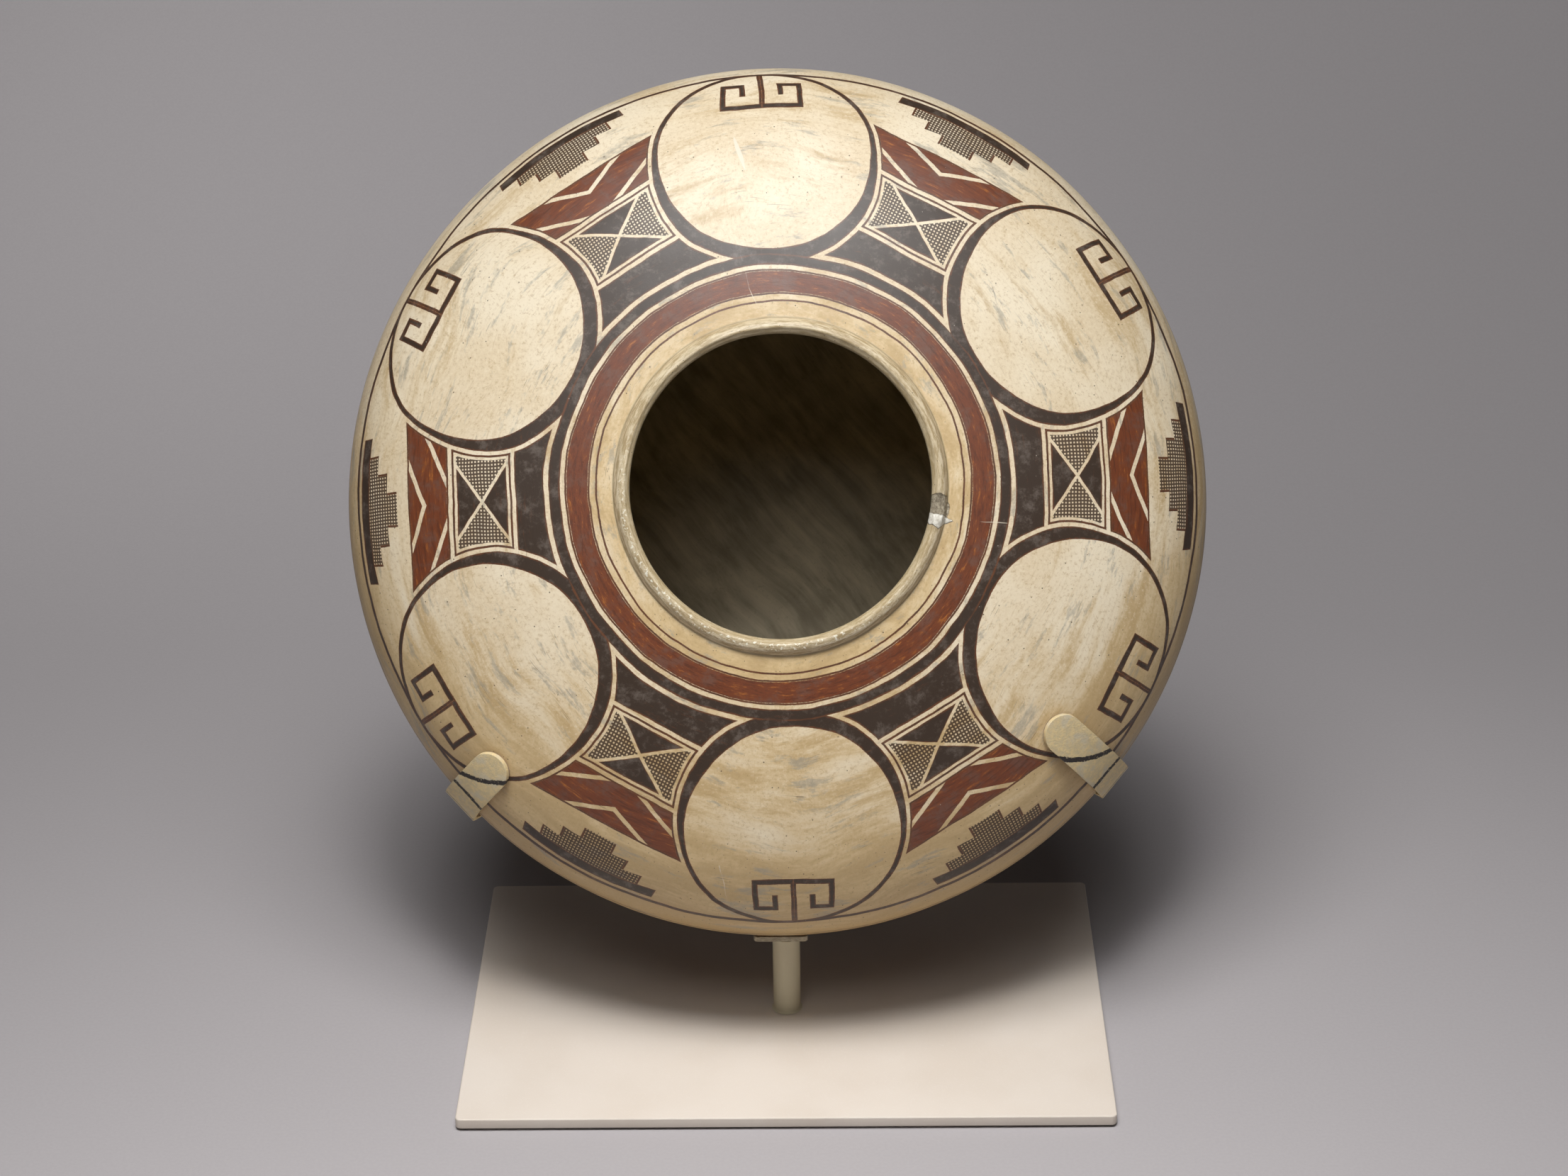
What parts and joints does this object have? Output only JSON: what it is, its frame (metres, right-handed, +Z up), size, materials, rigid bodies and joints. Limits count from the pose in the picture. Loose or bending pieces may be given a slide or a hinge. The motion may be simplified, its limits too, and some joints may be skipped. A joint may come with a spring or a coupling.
{
  "type": "seed jar",
  "caption": "Low wide-shouldered storage jar with a small round lipped mouth, tipped up towards the viewer in the clips of a flat-based display stand.",
  "frame": {"origin": "centre of the stand's felt underside, where the part rests", "axes": "+Z up, +X to the right of a viewer who faces the jar's mouth, +Y away from that viewer"},
  "size_m": [0.3779, 0.2954, 0.3985],
  "materials": {
    "painted_pottery": "burnished cream slip painted in dark brown and brick red, waxy sheen",
    "painted_steel": "matt brushed paint, warm off-white",
    "felt": "thin dark felt",
    "pad_lining": "thin tan felt pads between straps and jar"
  },
  "bodies": {
    "root": {"jar": "painted_pottery", "base_plate": "painted_steel", "base_felt": "felt", "post": "painted_steel", "spine_strap": "painted_steel", "spine_lining": "pad_lining", "hub": "painted_steel", "left_clip_arm": "painted_steel", "left_clip_lining": "pad_lining", "right_clip_arm": "painted_steel", "right_clip_lining": "pad_lining"}
  },
  "joints": []
}
